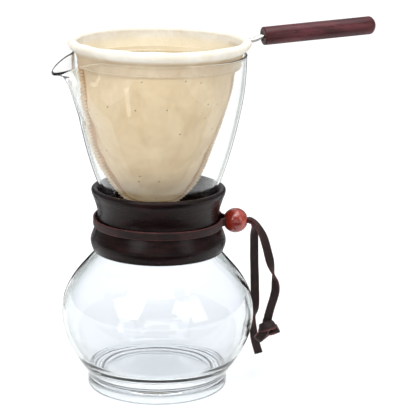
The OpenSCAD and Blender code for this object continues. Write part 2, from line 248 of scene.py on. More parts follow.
def sweep(path, sides, section):
    """Closed tube along a path. sides holds each point's width direction."""
    rings = []
    m = len(section(0.0))
    n = len(path)
    for i, p in enumerate(path):
        here = Vector(p)
        ahead = heading(path, i).normalized()
        side = Vector(sides[i])
        side = (side - side.dot(ahead) * ahead).normalized()
        face = ahead.cross(side)
        rings += [tuple(here + u * side + v * face) for u, v in section(i / (n - 1))]
    faces = grid_faces(n, m, wrap_cols=True)
    faces.append(tuple(range(m)))
    faces.append(tuple(range((n - 1) * m, n * m)))
    return rings, faces


def tube(path, r, n=6):
    """Round tube along a path. Its width direction is carried along without a twist."""
    ring = [polar(r, 2 * math.pi * k / n, 0)[:2] for k in range(n)]
    sides = []
    side = heading(path, 0).normalized().orthogonal()
    for i in range(len(path)):
        ahead = heading(path, i).normalized()
        side = (side - side.dot(ahead) * ahead).normalized()
        sides.append(tuple(side))
    return sweep(path, sides, lambda t: ring)


def merge(parts):
    """Joins several (verts, faces) pairs into one."""
    verts, faces = [], []
    for v, f in parts:
        base = len(verts)
        verts += v
        faces += [tuple(k + base for k in q) for q in f]
    return verts, faces


# ---- materials


class Shade:
    """A new material, or the world, and short ways to add nodes to it."""

    def __init__(self, name, world=False):
        self.mat = (bpy.data.worlds if world else bpy.data.materials).new(name)
        self.mat.use_nodes = True
        self.tree = self.mat.node_tree
        self.surface = self.tree.nodes["Background" if world else "Principled BSDF"]

    def node(self, kind, inputs=None, **props):
        n = self.tree.nodes.new(kind)
        for key, value in props.items():
            setattr(n, key, value)
        for key, value in (inputs or {}).items():
            self.put(n.inputs[key], value)
        return n

    def put(self, socket, value):
        if isinstance(value, bpy.types.NodeSocket):
            self.tree.links.new(value, socket)
        else:
            socket.default_value = value

    def set(self, **values):
        for key, value in values.items():
            self.put(self.surface.inputs[key.replace("_", " ")], value)

    def place(self, scale=(1, 1, 1)):
        c = self.node("ShaderNodeTexCoord").outputs["Object"]
        return self.node("ShaderNodeMapping", {"Vector": c, "Scale": scale}).outputs[0]

    def attr(self, name):
        return self.node("ShaderNodeAttribute", attribute_name=name).outputs

    def noise(self, vector, scale, detail=3.0, rough=0.5, distort=0.0):
        return self.node("ShaderNodeTexNoise", {
            "Vector": vector, "Scale": scale, "Detail": detail, "Roughness": rough,
            "Distortion": distort}).outputs["Fac"]

    def ramp(self, fac, stops):
        n = self.node("ShaderNodeValToRGB", {"Fac": fac})
        e = n.color_ramp.elements
        while len(e) < len(stops):
            e.new(0.5)
        for spot, (at, colour) in zip(e, stops):
            spot.position = at
            spot.color = (*colour, 1.0) if len(colour) == 3 else colour
        return n.outputs["Color"]

    def fit(self, value, lo, hi, out_lo=0.0, out_hi=1.0):
        return self.node("ShaderNodeMapRange", {
            "Value": value, "From Min": lo, "From Max": hi, "To Min": out_lo,
            "To Max": out_hi}).outputs[0]

    def math(self, op, a, b=0.0):
        return self.node("ShaderNodeMath", {0: a, 1: b}, operation=op).outputs[0]

    def mix(self, fac, a, b, blend="MIX"):
        n = self.node("ShaderNodeMix", data_type="RGBA", blend_type=blend)
        self.put(n.inputs[0], fac)
        for k, c in ((6, a), (7, b)):
            if isinstance(c, tuple) and len(c) == 3:
                c = (*c, 1.0)
            self.put(n.inputs[k], c)
        return n.outputs[2]

    def bump(self, height, strength, distance):
        return self.node("ShaderNodeBump", {
            "Height": height, "Strength": strength, "Distance": distance}).outputs[0]

    def join(self, share, other):
        """Mixes another shader into the surface."""
        mixed = self.node("ShaderNodeMixShader", {
            0: share, 1: self.surface.outputs[0], 2: other}).outputs[0]
        self.put(self.tree.nodes["Material Output"].inputs["Surface"], mixed)


def glass_material():
    """Clear glass with painted shade: its walls are painted darker where they are seen edge on,
    its foot and rim less so, and its bulb a little darker and bluer.
    """
    s = Shade("clear_glass")
    ripple = s.noise(s.place((1, 1, 0.6)), 38.0, 2.0, 0.4)
    # painted shade: the glass is painted grey where it is seen edge on, more on the walls than at
    # the foot and rim
    facing = s.node("ShaderNodeLayerWeight", {"Blend": 0.5}).outputs["Facing"]
    walls = s.ramp(facing, [(0.48, (0.985, 0.992, 0.995)), (0.72, (0.82, 0.85, 0.82)),
                            (0.90, (0.42, 0.45, 0.39)), (1.0, (0.28, 0.30, 0.26))])
    ends = s.ramp(facing, [(0.60, (0.985, 0.992, 0.99)), (0.90, (0.88, 0.90, 0.87)),
                           (1.0, (0.80, 0.82, 0.78))])
    height = s.node("ShaderNodeSeparateXYZ", {
        0: s.node("ShaderNodeTexCoord").outputs["Object"]}).outputs["Z"]
    middle = s.math("MULTIPLY", s.fit(height, 0.012, 0.024), s.fit(height, 0.186, 0.176))
    painted_shade_tint = s.mix(middle, ends, walls)
    # painted shade: the bulb is painted a little darker and bluer than the cup
    painted_shade_tint = s.mix(s.fit(height, 0.100, 0.070), painted_shade_tint, (0.915, 0.928, 0.952), "MULTIPLY")
    s.set(Base_Color=painted_shade_tint, Roughness=0.0, IOR=1.47, Transmission_Weight=1.0,
          Specular_IOR_Level=0.5, Normal=s.bump(ripple, 0.12, 0.0012))
    path = s.node("ShaderNodeLightPath").outputs["Is Shadow Ray"]
    clear = s.node("ShaderNodeBsdfTransparent", {"Color": (0.975, 0.985, 0.98, 1)}).outputs[0]
    s.join(path, clear)
    return s.mat


def wood_material(name, dark, mid, light, rough, coat, coat_rough, scale, squash, specks=0.0,
                  shine=0.3):
    """Stained and lacquered wood with fine grain along the long axis of its stretch."""
    s = Shade(name)
    where = s.place(squash)
    grain = s.noise(where, scale, 6.0, 0.62, 0.25)
    pores = s.noise(where, scale * 5.5, 3.0, 0.6, 0.0)
    broad = s.noise(s.place(), 28.0, 2.0, 0.5)
    colour = s.ramp(grain, [(0.30, dark), (0.52, mid), (0.74, light)])
    colour = s.mix(s.fit(pores, 0.56, 0.70, 0.0, 0.75), colour, tuple(0.35 * c for c in dark))
    colour = s.mix(s.fit(broad, 0.35, 0.7, 0.0, 0.35), colour, dark)
    if specks:
        spots = s.node("ShaderNodeTexVoronoi", {"Vector": s.place(), "Scale": 420.0})
        near = s.fit(spots.outputs["Distance"], 0.05, 0.16, specks, 0.0)
        colour = s.mix(near, colour, (0.02, 0.006, 0.005))
    s.set(Base_Color=colour, Roughness=s.fit(grain, 0.2, 0.8, rough - 0.05, rough + 0.09),
          Normal=s.bump(s.math("ADD", s.math("MULTIPLY", grain, 0.5), pores), 0.16, 0.0003))
    s.set(Coat_Weight=coat, Coat_Roughness=coat_rough, IOR=1.5, Specular_IOR_Level=shine)
    return s.mat


def leather_material():
    s = Shade("thong_leather")
    where = s.place()
    hide = s.noise(where, 900.0, 4.0, 0.6)
    patches = s.noise(where, 120.0, 3.0, 0.6)
    pits = s.node("ShaderNodeTexVoronoi", {"Vector": where, "Scale": 1500.0}).outputs["Distance"]
    edge = s.attr("edge")["Fac"]
    colour = s.ramp(patches, [(0.28, (0.005, 0.0022, 0.0022)), (0.55, (0.011, 0.004, 0.004)),
                              (0.8, (0.032, 0.009, 0.009))])
    # the edges of the lace are redder, more so in some patches
    redder_edge = s.math("MULTIPLY", s.fit(edge, 0.55, 0.95), s.fit(patches, 0.25, 0.65, 0.25, 0.95))
    colour = s.mix(redder_edge, colour, (0.080, 0.020, 0.019))
    colour = s.mix(s.fit(hide, 0.55, 0.8, 0.0, 0.4), colour, (0.012, 0.005, 0.005))
    height = s.math("ADD", s.math("MULTIPLY", hide, 0.8), s.math("MULTIPLY", pits, 0.5))
    s.set(Base_Color=colour, Roughness=s.fit(hide, 0.3, 0.7, 0.48, 0.68),
          Normal=s.bump(height, 0.35, 0.0003))
    s.set(Sheen_Weight=0.15, Sheen_Roughness=0.5, Sheen_Tint=(0.6, 0.3, 0.28, 1),
          Specular_IOR_Level=0.25)
    return s.mat


def steel_material():
    s = Shade("drawn_steel_wire")
    lines = s.noise(s.place(), 1400.0, 2.0, 0.5)
    colour = s.mix(s.fit(lines, 0.4, 0.7, 0.0, 0.5), (0.44, 0.43, 0.41), (0.26, 0.25, 0.24))
    s.set(Base_Color=colour, Metallic=1.0, Roughness=s.fit(lines, 0.3, 0.7, 0.18, 0.32),
          Normal=s.bump(lines, 0.08, 0.0002))
    return s.mat


def cloth_material(name, pale, warm, deep, seam_shade_colour, flecks, nap=1.0, cuff=None):
    """Cotton flannel: a soft nap over a plain weave that follows the cloth's own grain.

    flecks is how dark the seed specks are, and cuff the colours of the hem's lower part. The inner
    faces get a painted light, and the strip by the seam a painted shade.
    """
    s = Shade(name)
    u, v = s.attr("across")["Fac"], s.attr("down")["Fac"]
    flat = s.node("ShaderNodeCombineXYZ", {0: u, 1: v}).outputs[0]
    where = s.place()
    wave_u = s.math("SINE", s.math("MULTIPLY", s.math("ADD", u, s.fit(
        s.noise(flat, 0.35, 2.0), 0, 1, -0.35, 0.35)), 2 * math.pi / 0.62))
    wave_v = s.math("SINE", s.math("MULTIPLY", s.math("ADD", v, s.fit(
        s.noise(flat, 0.28, 2.0), 0, 1, -0.35, 0.35)), 2 * math.pi / 0.55))
    weave = s.math("MULTIPLY", wave_u, wave_v)
    fuzz = s.noise(where, 2300.0, 4.0, 0.7)
    tufts = s.noise(where, 620.0, 3.0, 0.6)
    blotch = s.noise(where, 70.0, 3.0, 0.55, 0.6)
    slub = s.noise(s.node("ShaderNodeMapping", {
        "Vector": flat, "Scale": (1.5, 0.12, 1)}).outputs[0], 1.0, 2.0)
    colour = s.ramp(blotch, [(0.3, pale), (0.52, warm), (0.78, deep)])
    colour = s.mix(s.fit(slub, 0.5, 0.72, 0.0, 0.22), colour, deep)
    colour = s.mix(s.fit(fuzz, 0.35, 0.7, 0.0, 0.16), colour, pale)
    colour = s.mix(s.fit(weave, -1, 1, 0.0, 0.10), colour, deep)
    if cuff:
        colour = s.mix(s.attr("cuff")["Fac"], colour, s.ramp(blotch, cuff))
    # painted light: the inner faces of the cloth are painted paler, as though more light reached
    # into the bag
    painted_light_inside = s.mix(blotch, (0.95, 0.88, 0.72), (0.88, 0.78, 0.58))
    colour = s.mix(s.attr("inside")["Fac"], colour, painted_light_inside)
    # painted shade: the doubled cloth by the seam, and the hem below its stitch line, are painted
    # darker and more orange
    seam = s.attr("seam")["Fac"]
    colour = s.mix(s.math("MULTIPLY", seam, s.fit(blotch, 0.25, 0.7, 0.7, 1.0)), colour,
                   seam_shade_colour)
    if flecks:
        cells = s.node("ShaderNodeTexVoronoi", {"Vector": flat, "Scale": 0.12},
                       voronoi_dimensions="2D")
        pick = s.node("ShaderNodeSeparateColor", {0: cells.outputs["Color"]}).outputs[0]
        dot = s.fit(cells.outputs["Distance"], 0.030, 0.055, 1.0, 0.0)
        dot = s.math("MULTIPLY", dot, s.fit(pick, 0.72, 0.74))
        colour = s.mix(s.math("MULTIPLY", dot, flecks), colour, (0.10, 0.055, 0.03))
    height = s.math("ADD", s.math("MULTIPLY", fuzz, 0.55 * nap),
                    s.math("MULTIPLY", tufts, 0.9 * nap))
    height = s.math("ADD", height, s.math("MULTIPLY", weave, 0.14))
    s.set(Base_Color=colour, Roughness=s.fit(fuzz, 0.3, 0.7, 0.82, 0.98),
          Normal=s.bump(height, 0.55, 0.00045))
    s.set(Sheen_Weight=0.2, Sheen_Roughness=0.6, Sheen_Tint=(1.0, 0.96, 0.88, 1),
          Specular_IOR_Level=0.15)
    glow = s.node("ShaderNodeBsdfTranslucent", {"Color": colour}).outputs[0]
    s.join(0.22, glow)
    return s.mat


def thread_material(name, light, dark):
    s = Shade(name)
    where = s.place()
    strands = s.noise(where, 2600.0, 3.0, 0.6)
    broad = s.noise(where, 150.0, 2.0, 0.5)
    colour = s.mix(s.fit(strands, 0.35, 0.7), light, dark)
    colour = s.mix(s.fit(broad, 0.4, 0.7, 0.0, 0.4), colour, dark)
    s.set(Base_Color=colour, Roughness=s.fit(strands, 0.3, 0.7, 0.6, 0.8),
          Normal=s.bump(strands, 0.4, 0.0002))
    s.set(Sheen_Weight=0.3, Sheen_Roughness=0.5)
    return s.mat


glass = glass_material()
collar_wood = wood_material(
    "collar_wood", (0.004, 0.0016, 0.0016), (0.008, 0.0028, 0.0028), (0.022, 0.006, 0.006),
    0.26, 0.0, 0.16, 62.0, (1.0, 1.0, 5.0), shine=0.15)
handle_wood = wood_material(
    "handle_wood", (0.022, 0.005, 0.006), (0.058, 0.012, 0.015), (0.115, 0.024, 0.030),
    0.30, 0.05, 0.14, 130.0, (0.16, 1.0, 1.0), shine=0.18)
bead_wood = wood_material(
    "bead_wood", (0.14, 0.010, 0.006), (0.30, 0.026, 0.013), (0.46, 0.055, 0.024),
    0.30, 1.0, 0.05, 150.0, (1.0, 1.0, 0.5), specks=0.5)
leather = leather_material()
steel = steel_material()
bag_cloth = cloth_material(
    "bag_flannel", (0.84, 0.70, 0.475), (0.775, 0.62, 0.395), (0.69, 0.52, 0.30),
    (0.68, 0.41, 0.18), 1.0)
hem_cloth = cloth_material(
    "hem_flannel", (0.90, 0.875, 0.81), (0.87, 0.83, 0.745), (0.80, 0.73, 0.61),
    (0.70, 0.52, 0.29), 0.0, nap=1.2,
    cuff=[(0.3, (0.80, 0.66, 0.46)), (0.52, (0.74, 0.58, 0.385)), (0.78, (0.67, 0.50, 0.30))])
serger_thread = thread_material("serger_thread", (0.88, 0.74, 0.52), (0.66, 0.48, 0.27))
hem_thread = thread_material("hem_thread", (0.80, 0.70, 0.52), (0.60, 0.47, 0.30))

# ---- camera

CAMERA_AT = Vector((0.0, -0.871, 0.33346))
PITCH = 0.25847
YAW = 0.033607
ROLL = 0.015807
LENS_MM = 135.8

ahead = Vector((math.sin(YAW) * math.cos(PITCH), math.cos(YAW) * math.cos(PITCH),
                -math.sin(PITCH)))
level = Vector((math.cos(YAW), -math.sin(YAW), 0.0))
upward = level.cross(ahead)
right = math.cos(ROLL) * level + math.sin(ROLL) * upward
top = math.cos(ROLL) * upward - math.sin(ROLL) * level
camera_data = bpy.data.cameras.new("camera")
camera_data.sensor_fit = "HORIZONTAL"
camera_data.sensor_width = 36.0
camera_data.lens = LENS_MM
camera_data.clip_start = 0.05
camera_data.clip_end = 30.0
camera = in_scene("camera", camera_data)
turn = Matrix((right, top, -ahead)).transposed()
camera.matrix_world = Matrix.LocRotScale(CAMERA_AT, turn, None)
bpy.context.scene.camera = camera

# ---- thong, bead and knot


def lace_section(width, thick, seed):
    """Flat lace with rounded edges, slightly uneven in width."""
    def at(t):
        w = width * (1 + 0.05 * wobble(t * 30, seed, 0, 3.0))
        h = thick * (1 + 0.06 * wobble(t * 40, seed, 5, 3.0))
        curl = 0.10 * wobble(t * 18, seed, 9, 4.0)
        flat = [(0.5, 0.0), (0.485, 0.26), (0.43, 0.43), (0.30, 0.5), (0.1, 0.51),
                (-0.1, 0.51), (-0.30, 0.5), (-0.43, 0.43), (-0.485, 0.26), (-0.5, 0.0),
                (-0.485, -0.26), (-0.43, -0.43), (-0.30, -0.5), (-0.1, -0.49),
                (0.1, -0.49), (0.30, -0.5), (0.43, -0.43), (0.485, -0.26)]
        return [(u * w, v * h + curl * width * (u * u * 4 - 0.3)) for u, v in flat]
    return at


EDGE_OF_LACE = [1.0, 0.95, 0.8, 0.3, 0.0, 0.0, 0.3, 0.8, 0.95,
                1.0, 0.95, 0.8, 0.3, 0.0, 0.0, 0.3, 0.8, 0.95]


def lace(name, path, sides, body, nodes, width=THONG_W, thick=THONG_T, seed=1.0):
    verts, faces = sweep(path, sides, lace_section(width, thick, seed))
    return new_piece(name, verts, faces, leather, body, nodes, "thong_leather", 60,
                     {"edge": EDGE_OF_LACE * len(path)})


def tail(name, route, node, seed):
    """A free end of the thong, twisting as its route says."""
    fine = smooth(route, 6)
    path = [p[:3] for p in fine]
    sides = [(math.cos(math.radians(p[3])), math.sin(math.radians(p[3])), 0) for p in fine]
    return lace(name, path, sides, "thong_end", [node], seed=seed), path


plain_tail, plain_path = tail("thong_plain_end", PLAIN_ROUTE, "thong_tail_plain", 2.0)
knotted_tail, knotted_path = tail("thong_knotted_end", KNOTTED_ROUTE, "thong_tail_knotted", 7.0)

knot_path = smooth(KNOT_ROUTE, 6)
knot_centre = Vector((63.2, 2.4, 30.6))
knot_sides = []
for i, p in enumerate(knot_path):
    side = heading(knot_path, i).cross(Vector(p) - knot_centre)
    blend_in = 1 - ease(i, 0, 9)
    blend_out = ease(i, len(knot_path) - 10, len(knot_path) - 1)
    side = side.normalized() * (1 - blend_in) * (1 - blend_out)
    side += Vector((-1, 0, 0)) * blend_in + Vector((0, 0, 1)) * blend_out
    if i and side.dot(Vector(knot_sides[-1])) < 0:
        side = -side
    knot_sides.append(tuple(side.normalized()))
knot = lace("thong_knot_tied", knot_path, knot_sides, "thong_end", ["thong_knot"],
            width=5.4, thick=3.4, seed=4.0)

# The two strands squeezed together in the outer half of the bead
strands = merge([
    sweep([(x, 0, THONG_Z + up) for x in (46.9, 48.4, 49.9, 51.5)], [(0, 1, 0)] * 4,
          lace_section(3.9, 1.45, 3.0 + up))
    for up in (-0.78, 0.78)
])
new_piece("thong_strands_in_bead", *strands, leather, "thong_end", ["thong_ends"],
          "thong_leather", 60, {"edge": EDGE_OF_LACE * 8})

# The band round the collar: one strand leaves the bead, runs round and comes back
BAND_R = 36.45
band_path = [(46.5, -0.8, THONG_Z), (44, -0.85, THONG_Z), (41.6, -1.3, THONG_Z),
             (39.4, -2.9, THONG_Z)]
for k in range(0, 61):
    a = math.radians(-9 - 342 * k / 60)
    sag = 0.25 * math.sin(3 * a) + 0.2 * math.sin(2 * a + 1)
    band_path.append(polar(BAND_R, a, THONG_Z + sag))
band_path += [(39.4, 2.9, THONG_Z), (41.6, 1.3, THONG_Z), (44, 0.85, THONG_Z),
              (46.5, 0.8, THONG_Z)]
band_path = smooth(band_path, 4)
lace("thong_band", band_path, [(0, 0, 1)] * len(band_path), "pot", ["thong_loop"],
     width=4.7, thick=1.4, seed=11.0)


def bead_profile():
    """Closed section of the bead about its own axis, as (radius, along)."""
    hole = BUNDLE_R + 0.06
    lip = 0.45
    reach = math.sqrt(BEAD_R ** 2 - (hole + lip) ** 2)
    edge = math.degrees(math.atan2(reach, hole + lip))
    outside = arc(0, 0, BEAD_R, -edge, edge, 48)
    far = [(hole + lip * 0.45, reach + 0.02), (hole + lip * 0.1, reach - 0.16),
           (hole, reach - 0.5)]
    bore = [(hole, reach - 0.5 - k * (2 * reach - 1) / 6) for k in range(1, 7)]
    near = [(r, -a) for r, a in reversed(far[:2])]
    return outside + far + bore + near


verts, faces = ring_solid(bead_profile(), 96)
verts = [(z + BEAD_X, y, THONG_Z - x) for x, y, z in verts]
new_piece("bead_turned", verts, faces, bead_wood, "bead", ["bead"], "bead_wood", 50)

# ---- glass pot

POT_STATIONS = [
    (40.2, 7), (41.1, 9.6), (46.2, 17), (51.4, 26.5), (54.4, 36), (55, 46), (53, 55.5),
    (48, 64.5), (41.6, 72.5), (35.2, 80), (30.6, 87.5), (28.4, 96), (29.6, 105), (33, 115),
    (36.8, 125.5), (40.3, 137), (43.3, 149), (45.8, 161), (47.6, 172.5), (48.4, 183.5),
    (48.7, 192.25),
]
SPOUT_KEEL = smooth([(0, 156), (2.48, 165), (4.96, 174), (7.13, 180), (9.92, 183.4),
                     (12.71, 184.5), (15.5, 185)], 6)
POT_OUTLINE = smooth(POT_STATIONS, 7)
KEEL_REACH = [(i / (len(SPOUT_KEEL) - 1), k[0]) for i, k in enumerate(SPOUT_KEEL)]
KEEL_HEIGHT = [(i / (len(SPOUT_KEEL) - 1), k[1]) for i, k in enumerate(SPOUT_KEEL)]
POT_COLUMNS = 288


def spout_moved(r, z, az):
    """Where a point of the cup goes when the spout is pulled out of it."""
    u = (math.degrees(az) - SPOUT_AZ + 180) % 360 - 180
    u /= SPOUT_HALF
    t = (z - SPOUT_Z) / (RIM_Z - SPOUT_Z)
    if abs(u) >= 1 or t <= 0:
        return r, z
    share = (0.5 + 0.5 * math.cos(math.pi * u)) ** 1.4
    reach = lookup(KEEL_REACH, t)
    height = lookup(KEEL_HEIGHT, t)
    return r + reach * share, z + (height - z) * share ** 1.5


def pot_point(r, z, az):
    """A point of the outer wall, very slightly uneven as blown glass is."""
    r, z = spout_moved(r, z, az)
    r += 0.12 * wobble(*polar(r, az, z), 26.0, 3.0) * ease(z, 12, 24)
    return Vector(polar(r, az, z))


def wall_at(z):
    """Thickness of the wall: blown glass is thicker in the bulb than in the cup."""
    return GLASS_T + 0.9 * ease(z, 10, 22) * (1 - ease(z, 60, 84))


def pot_mesh():
    outline = POT_OUTLINE
    foot = [(6, 7), (14, 7), (22, 7)] + smooth(
        [(28, 7), (32.5, 6.4), (35.4, 4.4), (36.8, 2)], 5)
    foot += arc(38, 1.2, 1.2, 190, 270, 6) + [(38.5, 0)] + arc(39, 1.2, 1.2, 270, 360, 6)
    foot += [(40.2, 2.2), (40.2, 3.8), (40.2, 5.4)]
    floor_line = smooth([(26, 9), (32, 9.7), (37.6, 12.3), (42.2, 16.8)], 8)
    floor_line = [(6, 9), (14, 9), (20, 9)] + floor_line
    step = 1e-3
    columns = []
    for j in range(POT_COLUMNS):
        az = 2 * math.pi * j / POT_COLUMNS
        column = [polar(r, az, z) for r, z in foot]
        outer = [pot_point(r, z, az) for r, z in outline]
        normals = []
        for i, (r, z) in enumerate(outline):
            a = outer[max(i - 1, 0)]
            b = outer[min(i + 1, len(outer) - 1)]
            around = pot_point(r, z, az + step) - pot_point(r, z, az - step)
            normals.append(around.cross(b - a).normalized())
        column += outer
        half = GLASS_T / 2
        rise = (outer[-1] - outer[-2]).normalized()
        middle = outer[-1] - normals[-1] * half
        bulge = 1.18
        for k in range(1, 8):
            a = math.pi * k / 8
            column.append(middle + half * bulge * math.cos(a) * normals[-1]
                          + half * math.sin(a) * rise)
        inner = [outer[i] - normals[i] * wall_at(outline[i][1])
                 for i in range(len(outline) - 1, -1, -1) if outline[i][1] > 19]
        column += inner
        column += [polar(r, az, z) for r, z in reversed(floor_line)]
        columns.append(column)
    rows = len(columns[0])
    verts = [(0, 0, 7)] + [tuple(columns[j][i]) for i in range(rows) for j in range(POT_COLUMNS)]
    verts.append((0, 0, 9))
    return verts, pole_faces(rows, POT_COLUMNS)


new_piece("pot_blown_glass", *pot_mesh(), glass, "pot", ["glass_pot"], "pot_glass", 80)

# ---- collar

COLLAR_STATIONS = [
    (37.3, 81.1), (38.3, 84), (38.5, 87), (37.2, 91), (35.5, 95.5), (34.6, 101),
    (35.1, 105.5), (36.6, 110.5), (37.7, 113.3), (38.1, 115.2),
]


def collar_section():
    outline = POT_OUTLINE
    bore = []
    for i in range(1, len(outline) - 1):
        r, z = outline[i]
        if COLLAR_Z + 0.6 < z < COLLAR_TOP - 3.2:
            run = Vector(outline[i + 1]) - Vector(outline[i - 1])
            away = Vector((run.y, -run.x)).normalized() * 0.4
            bore.append((r + away.x, z + away.y))
    low_r, high_r = bore[0][0], bore[-1][0]
    section = [(low_r + 0.5, COLLAR_Z), (36.4, COLLAR_Z)]
    section += arc(36.5, COLLAR_Z + 0.9, 0.9, 280, 330, 4)
    section += smooth(COLLAR_STATIONS, 9)
    section += arc(36.5, COLLAR_TOP - 1.6, 1.6, 15, 90, 8)
    section += [(35.4, COLLAR_TOP - 0.1), (34.5, COLLAR_TOP - 1), (high_r + 0.5, COLLAR_TOP - 2.6)]
    return section + list(reversed(bore))


for name, first, node in (("collar_front_half", 180.1, "collar_front"),
                          ("collar_back_half", 0.1, "collar_back")):
    verts, faces = ring_solid(collar_section(), 144, first, first + 179.8)
    new_piece(name, verts, faces, collar_wood, "pot", [node], "collar_wood", 42)

# ---- hoop and handle


def turned(p, az):
    """A point turned about Z."""
    x, y, z = p
    return (x * math.cos(az) - y * math.sin(az), x * math.sin(az) + y * math.cos(az), z)


def wire_mesh():
    section = [(HOOP_R + WIRE_R * math.cos(2 * math.pi * k / 12),
                HOOP_Z + WIRE_R * math.sin(2 * math.pi * k / 12)) for k in range(12)]
    parts = [ring_solid(section, 144)]
    # the wire's two ends dip under the hem and run side by side into the handle
    low = HOOP_Z - 0.7
    along = Vector((math.cos(HANDLE_TILT), 0, math.sin(HANDLE_TILT)))
    for off in (-1.2, 1.2):
        mouth = Vector((HANDLE_NEAR, off, HANDLE_Z))
        bend = mouth - 2.4 * along - Vector((0, 0, 0.7))
        route = [(HOOP_R, off, low), (HOOP_R + 4, off, low), (HOOP_R + 7.6, off, low + 0.3),
                 tuple(bend), tuple(mouth), tuple(mouth + 2.4 * along), tuple(mouth + 8 * along)]
        parts.append(tube([turned(p, HANDLE_AZ) for p in smooth(route, 6)], WIRE_R, 14))
    return merge(parts)


new_piece("hoop_bent_wire", *wire_mesh(), steel, "filter", ["hoop_wire"], "hoop_steel", 60)


def handle_mesh():
    r = HANDLE_R
    profile = [(0, 0.35), (1.6, 0.35), (2.6, 0.3), (2.9, 0.0), (3.6, 0.0), (r - 0.7, 0.0)]
    profile += arc(r - 0.7, 0.7, 0.7, -75, 0, 5)
    profile += [(r, 8), (r, 20), (r + 0.03, 34), (r, 48), (r, 60)]
    dome = 3.0
    cap_r = (r * r + dome * dome) / (2 * dome)
    half = math.degrees(math.asin(r / cap_r))
    tip = arc(HANDLE_LEN - cap_r, 0, cap_r, half, 0, 12)
    profile += [(r, tip[0][0] - 0.7), (r - 0.06, tip[0][0] - 0.2)]
    profile += [(b, a) for a, b in tip[1:]]
    verts, faces = lathe(profile, 72)
    out = []
    for x, y, z in verts:
        # the profile's height becomes the distance along the handle
        along, up = z, x
        px = HANDLE_NEAR + along * math.cos(HANDLE_TILT) - up * math.sin(HANDLE_TILT)
        pz = HANDLE_Z + along * math.sin(HANDLE_TILT) + up * math.cos(HANDLE_TILT)
        out.append(turned((px, y, pz), HANDLE_AZ))
    return out, faces


new_piece("handle_turned", *handle_mesh(), handle_wood, "filter", ["handle"], "handle_wood", 40)

# ---- cloth filter

# height, reach of the sewn edge on the spout's side and on the other side, half depth of
# the pouch, width of the sewn edge
BAG_STATIONS = [
    (190, 44.9, 44.6, 44.8, 1.8), (185.7, 45.6, 44.6, 44.9, 3.2), (180, 46.2, 42.8, 44, 4.2),
    (173, 46, 41.8, 42.4, 4.5), (166, 44.8, 40, 40.2, 4.5), (158, 42.9, 37.4, 36.8, 4.5),
    (150, 40.9, 34.8, 33, 4.5), (141, 38.2, 31.4, 28, 4.5), (133, 34.8, 28.6, 23, 4.5),
    (126, 31, 25.6, 18, 4.5), (119, 26.6, 21.8, 12, 4.5), (114, 22.4, 17.8, 7, 4.5),
    (110, 18, 13, 0, 4.5),
]
BAG_COLS = 44
FIN_STEPS = 3
BOTTOM_EDGE = [(-18, 110), (-13.4, 107.1), (-8, 105.5), (3, 105.5), (8.6, 107.1), (13, 110)]


# the way through the bag from front to back, square to its seam
THROUGH = Vector(turned((0, 1, 0), SEAM_AZ))


def bag_grid():
    """The pouch as rows of points, front and back, and the strip outside its seam."""
    rows = smooth(BAG_STATIONS, 4)
    verts, index, flat = [], {}, []

    def add(key, p, u, v):
        index[key] = len(verts)
        verts.append(turned(p, SEAM_AZ))
        flat.append((u, v))

    down = 0.0
    for i, (z, far, near, deep, edge) in enumerate(rows):
        if i:
            down += math.hypot(z - rows[i - 1][0], deep - rows[i - 1][3])
        last = i == len(rows) - 1
        mid = (near - far) / 2
        half = (far + near) / 2 - edge
        for side in (-1, 1):
            for j in range(BAG_COLS + 1):
                at_seam = j in (0, BAG_COLS)
                if side == 1 and (at_seam or last):
                    index[side, i, j] = index[-1, i, j]
                    continue
                a = math.pi * j / BAG_COLS
                inset = 0.0 if at_seam else CLOTH_T
                x = mid - (half - 0.4 * inset) * math.cos(a)
                y = side * max(deep - inset, 0) * math.sin(a)
                dent = 0.0 if at_seam else 0.7 * wobble(x, y, z, 15.0, 1.0 + side)
                dent *= ease(184 - z, 0, 12) * ease(z, 108, 118)
                away = Vector((math.cos(a) * -1, side * math.sin(a), 0))
                p = Vector((x, y, z)) + away * dent
                u = (a / math.pi - 0.5) * math.pi * (half + deep) / 2
                add((side, i, j), tuple(p), u, down)
    # the strip outside the seam, from the seam out to its sewn edge
    n = len(rows)
    seam = [((-1, i, 0), (-rows[i][1], rows[i][0])) for i in range(n)]
    edge_line = smooth(BOTTOM_EDGE, 12)
    for j in range(1, BAG_COLS):
        t = j / BAG_COLS * (len(edge_line) - 1)
        k = min(int(t), len(edge_line) - 2)
        a, b = edge_line[k], edge_line[k + 1]
        s = t - k
        seam.append(((-1, n - 1, j), (a[0] + (b[0] - a[0]) * s, a[1] + (b[1] - a[1]) * s)))
    seam += [((-1, i, BAG_COLS), (rows[i][2], rows[i][0])) for i in range(n - 1, -1, -1)]
    for k, (key, (ox, oz)) in enumerate(seam):
        base = index[key]
        here = Vector(turned(verts[base], -SEAM_AZ))
        out = Vector((ox, 0, oz))
        for m in range(1, FIN_STEPS + 1):
            p = here.lerp(out, m / FIN_STEPS)
            u, v = flat[base]
            reach = (out - here).length * m / FIN_STEPS
            add(("fin", k, m), tuple(p), u + math.copysign(reach, u), v)
        index["fin", k, 0] = base
    return rows, verts, index, flat, seam


def bag_faces(side):
    """Faces of one panel: its half of the pouch and its layer of the strip."""
    faces = []
    for i in range(len(rows) - 1):
        for j in range(BAG_COLS):
            faces.append((index[side, i, j], index[side, i, j + 1],
                          index[side, i + 1, j + 1], index[side, i + 1, j]))
    for k in range(len(seam) - 1):
        for m in range(FIN_STEPS):
            faces.append((index["fin", k, m], index["fin", k + 1, m],
                          index["fin", k + 1, m + 1], index["fin", k, m + 1]))
    return faces


def glass_room(z):
    """Inner radius of the cup at a height."""
    return lookup([(q[1], q[0]) for q in POT_STATIONS], z) - GLASS_T


